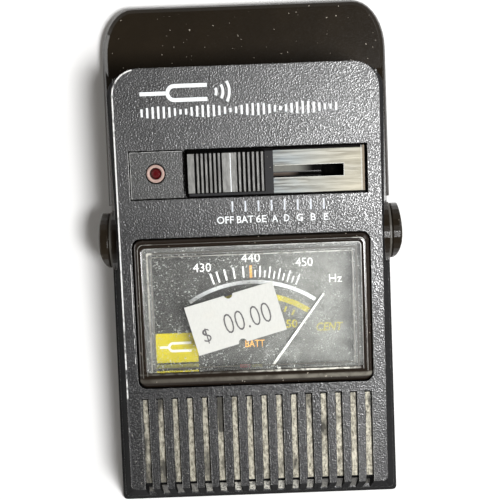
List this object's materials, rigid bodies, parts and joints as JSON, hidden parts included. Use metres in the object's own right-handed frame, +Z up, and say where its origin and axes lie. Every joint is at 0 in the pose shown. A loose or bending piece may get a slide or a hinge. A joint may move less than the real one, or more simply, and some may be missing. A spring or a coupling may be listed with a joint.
{
  "type": "instrument tuner",
  "caption": "Hand-held instrument tuner with a needle meter under a clear window, a ridged slide switch, a ribbed grille and a folding tilt stand on side pivots.",
  "frame": {"origin": "on the surface the tuner lies on, under the middle of its overall length and width, lying on its back with the stand folded", "axes": "+X to the right across the front, +Y towards the top end with the jack sockets, +Z up out of the front panel"},
  "size_m": [0.0724, 0.1234, 0.0272],
  "materials": {
    "case_plastic": "fine moulded texture",
    "stand_plastic": "smooth, slightly scuffed",
    "nylon": "smooth",
    "bezel_clear": "clear, tinted",
    "lamp_red": "clear red, unlit",
    "silver_plate": "satin",
    "knob_plastic": "satin",
    "black_plastic": "satin",
    "brass": "plain",
    "clear_window": "clear acrylic, dusty",
    "dial_paint": "printed matt",
    "needle_white": "matt white",
    "steel": "plated",
    "copper_wire": "enamelled copper winding",
    "label_paper": "coated paper",
    "board": "phenolic board",
    "sleeve": "shrink sleeve",
    "rubber": "matt"
  },
  "bodies": {
    "case": {"front_shell": "case_plastic", "rear_shell": "case_plastic", "pivot_plug_left": "stand_plastic", "pivot_plug_right": "stand_plastic", "pivot_washer_left": "nylon", "pivot_washer_right": "nylon", "led_plate": "case_plastic", "led_bezel": "bezel_clear", "power_led": "lamp_red", "switch_cover_plate": "silver_plate", "slide_switch_body": "black_plastic", "meter_case": "black_plastic", "meter_lens": "clear_window", "meter_dial": "dial_paint", "magnet_yoke": "steel", "magnet_core": "steel", "meter_bridge": "brass", "price_label": "label_paper", "circuit_board": "board", "tuner_chip": "black_plastic", "amplifier_chip": "black_plastic", "quartz_crystal": "steel", "capacitor_1": "sleeve", "capacitor_2": "sleeve", "capacitor_3": "sleeve", "microphone": "steel", "microphone_boot": "rubber", "input_jack": "black_plastic", "output_jack": "black_plastic", "battery_cell_1": "sleeve", "battery_cell_2": "sleeve", "battery_contact_1": "steel", "battery_contact_2": "steel", "battery_spring_1": "steel", "battery_spring_2": "steel", "case_screw_1": "steel", "case_screw_2": "steel", "case_screw_3": "steel", "case_screw_4": "steel", "foot_left": "rubber", "foot_right": "rubber"},
    "stand": {"tilt_stand": "stand_plastic", "stand_pad_left": "rubber", "stand_pad_right": "rubber"},
    "slider": {"slider_knob": "knob_plastic", "slider_shutter": "black_plastic", "switch_contact": "brass"},
    "needle": {"meter_needle": "needle_white", "needle_staff": "steel", "hairspring": "brass", "moving_coil": "copper_wire"},
    "door": {"battery_door": "case_plastic"}
  },
  "joints": [
    {"name": "stand_tilt", "type": "hinge", "parent": "case", "child": "stand", "pos_m": [0, 0.0051, 0.0102], "axis": [-1, 0, 0], "range_deg": [0, 65]},
    {"name": "switch_slide", "type": "slide", "parent": "case", "child": "slider", "axis": [1, 0, 0], "range_m": [0, 0.02135]},
    {"name": "needle_swing", "type": "hinge", "parent": "case", "child": "needle", "pos_m": [-0.0006, -0.03248, 0.01546], "axis": [0, -0.0654, 0.9979], "range_deg": [0, 73], "stiffness_Nm_per_rad": 0.0001, "springref_deg": -22.92},
    {"name": "battery_door_off", "type": "slide", "parent": "case", "child": "door", "axis": [0, 0, -1], "range_m": [0, 0.02]}
  ]
}
